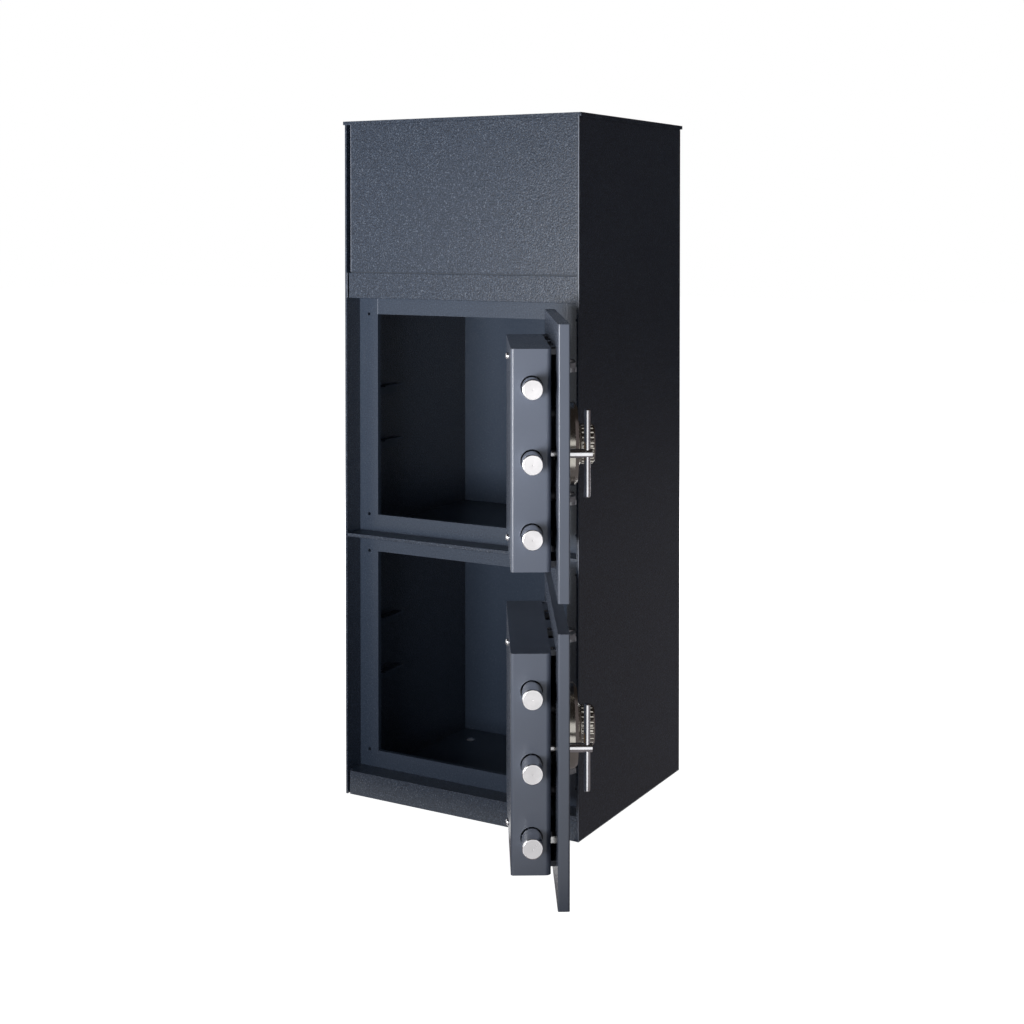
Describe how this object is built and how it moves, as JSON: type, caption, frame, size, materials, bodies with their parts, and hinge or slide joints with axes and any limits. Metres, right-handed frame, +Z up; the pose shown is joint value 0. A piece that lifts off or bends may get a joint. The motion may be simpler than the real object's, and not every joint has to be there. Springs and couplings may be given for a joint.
{
  "type": "deposit safe",
  "caption": "Tall narrow steel deposit safe with stacked compartments, hinged doors with round locking bolts, and a rear-loading tilt hopper in its head.",
  "frame": {"origin": "centre of the casing's base, on the floor", "axes": "+X to the viewer's right, +Y from the doors to the back, +Z up"},
  "size_m": [0.5012, 0.667, 0.9144],
  "materials": {
    "textured_charcoal": "fine hammertone powder coat",
    "smooth_grey": "smooth satin paint",
    "bright_chrome": "polished chrome plate",
    "plain_steel": "zinc plated steel",
    "dial_metal": "polished nickel, turned",
    "bronze": "plain machined"
  },
  "bodies": {
    "casing": {"left_wall": "textured_charcoal", "right_wall": "textured_charcoal", "back_panel": "textured_charcoal", "floor_plate": "textured_charcoal", "top_plate": "textured_charcoal", "head_panel": "textured_charcoal", "header_band": "textured_charcoal", "head_floor": "textured_charcoal", "divider_shelf": "textured_charcoal", "sill": "textured_charcoal", "upper_door_frame": "textured_charcoal", "lower_door_frame": "textured_charcoal", "shelf_supports": "textured_charcoal", "hinge_lugs": "smooth_grey", "hinge_pins": "plain_steel", "hopper_chute": "textured_charcoal", "hopper_baffle": "textured_charcoal", "hopper_brackets": "textured_charcoal", "hopper_bushes": "bronze"},
    "hopper": {"hopper_door": "textured_charcoal", "hopper_bucket": "textured_charcoal", "hopper_shaft": "plain_steel", "hopper_pull": "plain_steel"},
    "upper_door": {"upper_door_plate": "smooth_grey", "upper_housing": "smooth_grey", "upper_housing_tabs": "smooth_grey", "upper_housing_screws": "bright_chrome", "upper_hinge_arms": "smooth_grey", "upper_dead_bar": "smooth_grey", "upper_dial_ring": "dial_metal", "upper_handle_bush": "bronze", "upper_lock_case": "plain_steel", "upper_carriage_studs": "plain_steel"},
    "upper_boltwork": {"upper_bolts": "bright_chrome", "upper_carriage": "plain_steel"},
    "upper_handle": {"upper_handle_spindle": "bright_chrome", "upper_crossbar": "bright_chrome", "upper_crank": "plain_steel"},
    "upper_dial": {"upper_dial": "dial_metal", "upper_wheel_pack": "bronze"},
    "upper_lock": {"upper_lock_bolt": "bronze"},
    "lower_door": {"lower_door_plate": "smooth_grey", "lower_housing": "smooth_grey", "lower_housing_tabs": "smooth_grey", "lower_housing_screws": "bright_chrome", "lower_hinge_arms": "smooth_grey", "lower_dead_bar": "smooth_grey", "lower_dial_ring": "dial_metal", "lower_handle_bush": "bronze", "lower_lock_case": "plain_steel", "lower_carriage_studs": "plain_steel"},
    "lower_boltwork": {"lower_bolts": "bright_chrome", "lower_carriage": "plain_steel"},
    "lower_handle": {"lower_handle_spindle": "bright_chrome", "lower_crossbar": "bright_chrome", "lower_crank": "plain_steel"},
    "lower_dial": {"lower_dial": "dial_metal", "lower_wheel_pack": "bronze"},
    "lower_lock": {"lower_lock_bolt": "bronze"}
  },
  "joints": [
    {"name": "hopper_tilt", "type": "hinge", "parent": "casing", "child": "hopper", "pos_m": [0, 0.1435, 0.77494], "axis": [-1, 0, 0], "range_deg": [0, 55]},
    {"name": "upper_door_swing", "type": "hinge", "parent": "casing", "child": "upper_door", "pos_m": [0.1661, -0.1575, 0.52294], "axis": [0, 0, 1], "range_deg": [-121, 14]},
    {"name": "upper_handle_turn", "type": "hinge", "parent": "upper_door", "child": "upper_handle", "pos_m": [0.27716, -0.37787, 0.52294], "axis": [-0.8572, -0.515, 0], "range_deg": [0, 90]},
    {"name": "upper_bolt_throw", "type": "slide", "parent": "upper_door", "child": "upper_boltwork", "axis": [-0.515, 0.8572, 0], "range_m": [0, 0.031]},
    {"name": "upper_dial_turn", "type": "hinge", "parent": "upper_door", "child": "upper_dial", "pos_m": [0.23596, -0.3093, 0.52294], "axis": [-0.8572, -0.515, 0], "continuous": true},
    {"name": "upper_lock_throw", "type": "slide", "parent": "upper_door", "child": "upper_lock", "axis": [0, 0, -1], "range_m": [-0.008, 0]},
    {"name": "lower_door_swing", "type": "hinge", "parent": "casing", "child": "lower_door", "pos_m": [0.1661, -0.1575, 0.19859], "axis": [0, 0, 1], "range_deg": [-121, 14]},
    {"name": "lower_handle_turn", "type": "hinge", "parent": "lower_door", "child": "lower_handle", "pos_m": [0.27716, -0.37787, 0.19859], "axis": [-0.8572, -0.515, 0], "range_deg": [0, 90]},
    {"name": "lower_bolt_throw", "type": "slide", "parent": "lower_door", "child": "lower_boltwork", "axis": [-0.515, 0.8572, 0], "range_m": [0, 0.031]},
    {"name": "lower_dial_turn", "type": "hinge", "parent": "lower_door", "child": "lower_dial", "pos_m": [0.23596, -0.3093, 0.19859], "axis": [-0.8572, -0.515, 0], "continuous": true},
    {"name": "lower_lock_throw", "type": "slide", "parent": "lower_door", "child": "lower_lock", "axis": [0, 0, -1], "range_m": [-0.008, 0]}
  ],
  "couplings": [
    {"joint": "upper_handle_turn", "follows": "upper_bolt_throw", "rad_per_m": 50.671},
    {"joint": "lower_handle_turn", "follows": "lower_bolt_throw", "rad_per_m": 50.671}
  ]
}
